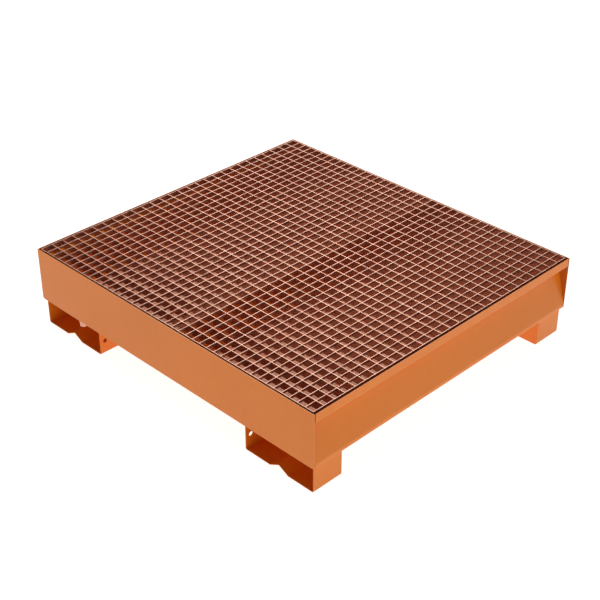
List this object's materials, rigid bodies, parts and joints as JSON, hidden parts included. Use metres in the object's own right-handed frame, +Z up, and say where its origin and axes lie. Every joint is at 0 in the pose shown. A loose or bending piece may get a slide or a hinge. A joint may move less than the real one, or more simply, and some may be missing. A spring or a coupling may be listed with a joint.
{
  "type": "spill containment pallet",
  "caption": "Welded sheet-steel sump tray on folded feet with fork channels and a lift-out pressed steel grating on ledges and a centre beam.",
  "frame": {"origin": "centre of the footprint, at the level of the feet's soles", "axes": "+X along the longer side, parallel to the bearing bars; +Y from the front wall, which has the earthing lug, to the rear wall; +Z up"},
  "size_m": [1.3568, 1.2614, 0.304],
  "materials": {
    "painted_steel": "satin orange powder coat",
    "zinc_grating": "zinc-coated, warm tint, matt",
    "bare_lug": "unpainted, dull"
  },
  "bodies": {
    "tray": {"sump_pan": "painted_steel", "front_wall": "painted_steel", "rear_wall": "painted_steel", "centre_beam": "painted_steel", "foot_front_left": "painted_steel", "foot_front_right": "painted_steel", "foot_rear_left": "painted_steel", "foot_rear_right": "painted_steel", "foot_plate_front_left": "painted_steel", "foot_plate_front_right": "painted_steel", "foot_plate_rear_left": "painted_steel", "foot_plate_rear_right": "painted_steel", "earthing_lug": "bare_lug"},
    "grating": {"side_bar_front": "zinc_grating", "side_bar_rear": "zinc_grating", "end_bar_left": "zinc_grating", "end_bar_right": "zinc_grating", "cross_bars": "zinc_grating", "bearing_bar_01": "zinc_grating", "bearing_bar_02": "zinc_grating", "bearing_bar_03": "zinc_grating", "bearing_bar_04": "zinc_grating", "bearing_bar_05": "zinc_grating", "bearing_bar_06": "zinc_grating", "bearing_bar_07": "zinc_grating", "bearing_bar_08": "zinc_grating", "bearing_bar_09": "zinc_grating", "bearing_bar_10": "zinc_grating", "bearing_bar_11": "zinc_grating", "bearing_bar_12": "zinc_grating", "bearing_bar_13": "zinc_grating", "bearing_bar_14": "zinc_grating", "bearing_bar_15": "zinc_grating", "bearing_bar_16": "zinc_grating", "bearing_bar_17": "zinc_grating", "bearing_bar_18": "zinc_grating", "bearing_bar_19": "zinc_grating", "bearing_bar_20": "zinc_grating", "bearing_bar_21": "zinc_grating", "bearing_bar_22": "zinc_grating", "bearing_bar_23": "zinc_grating", "bearing_bar_24": "zinc_grating", "bearing_bar_25": "zinc_grating", "bearing_bar_26": "zinc_grating", "bearing_bar_27": "zinc_grating"}
  },
  "joints": [
    {"name": "grating_lift", "type": "slide", "parent": "tray", "child": "grating", "axis": [0, 0, 1], "range_m": [0, 0.3]}
  ]
}
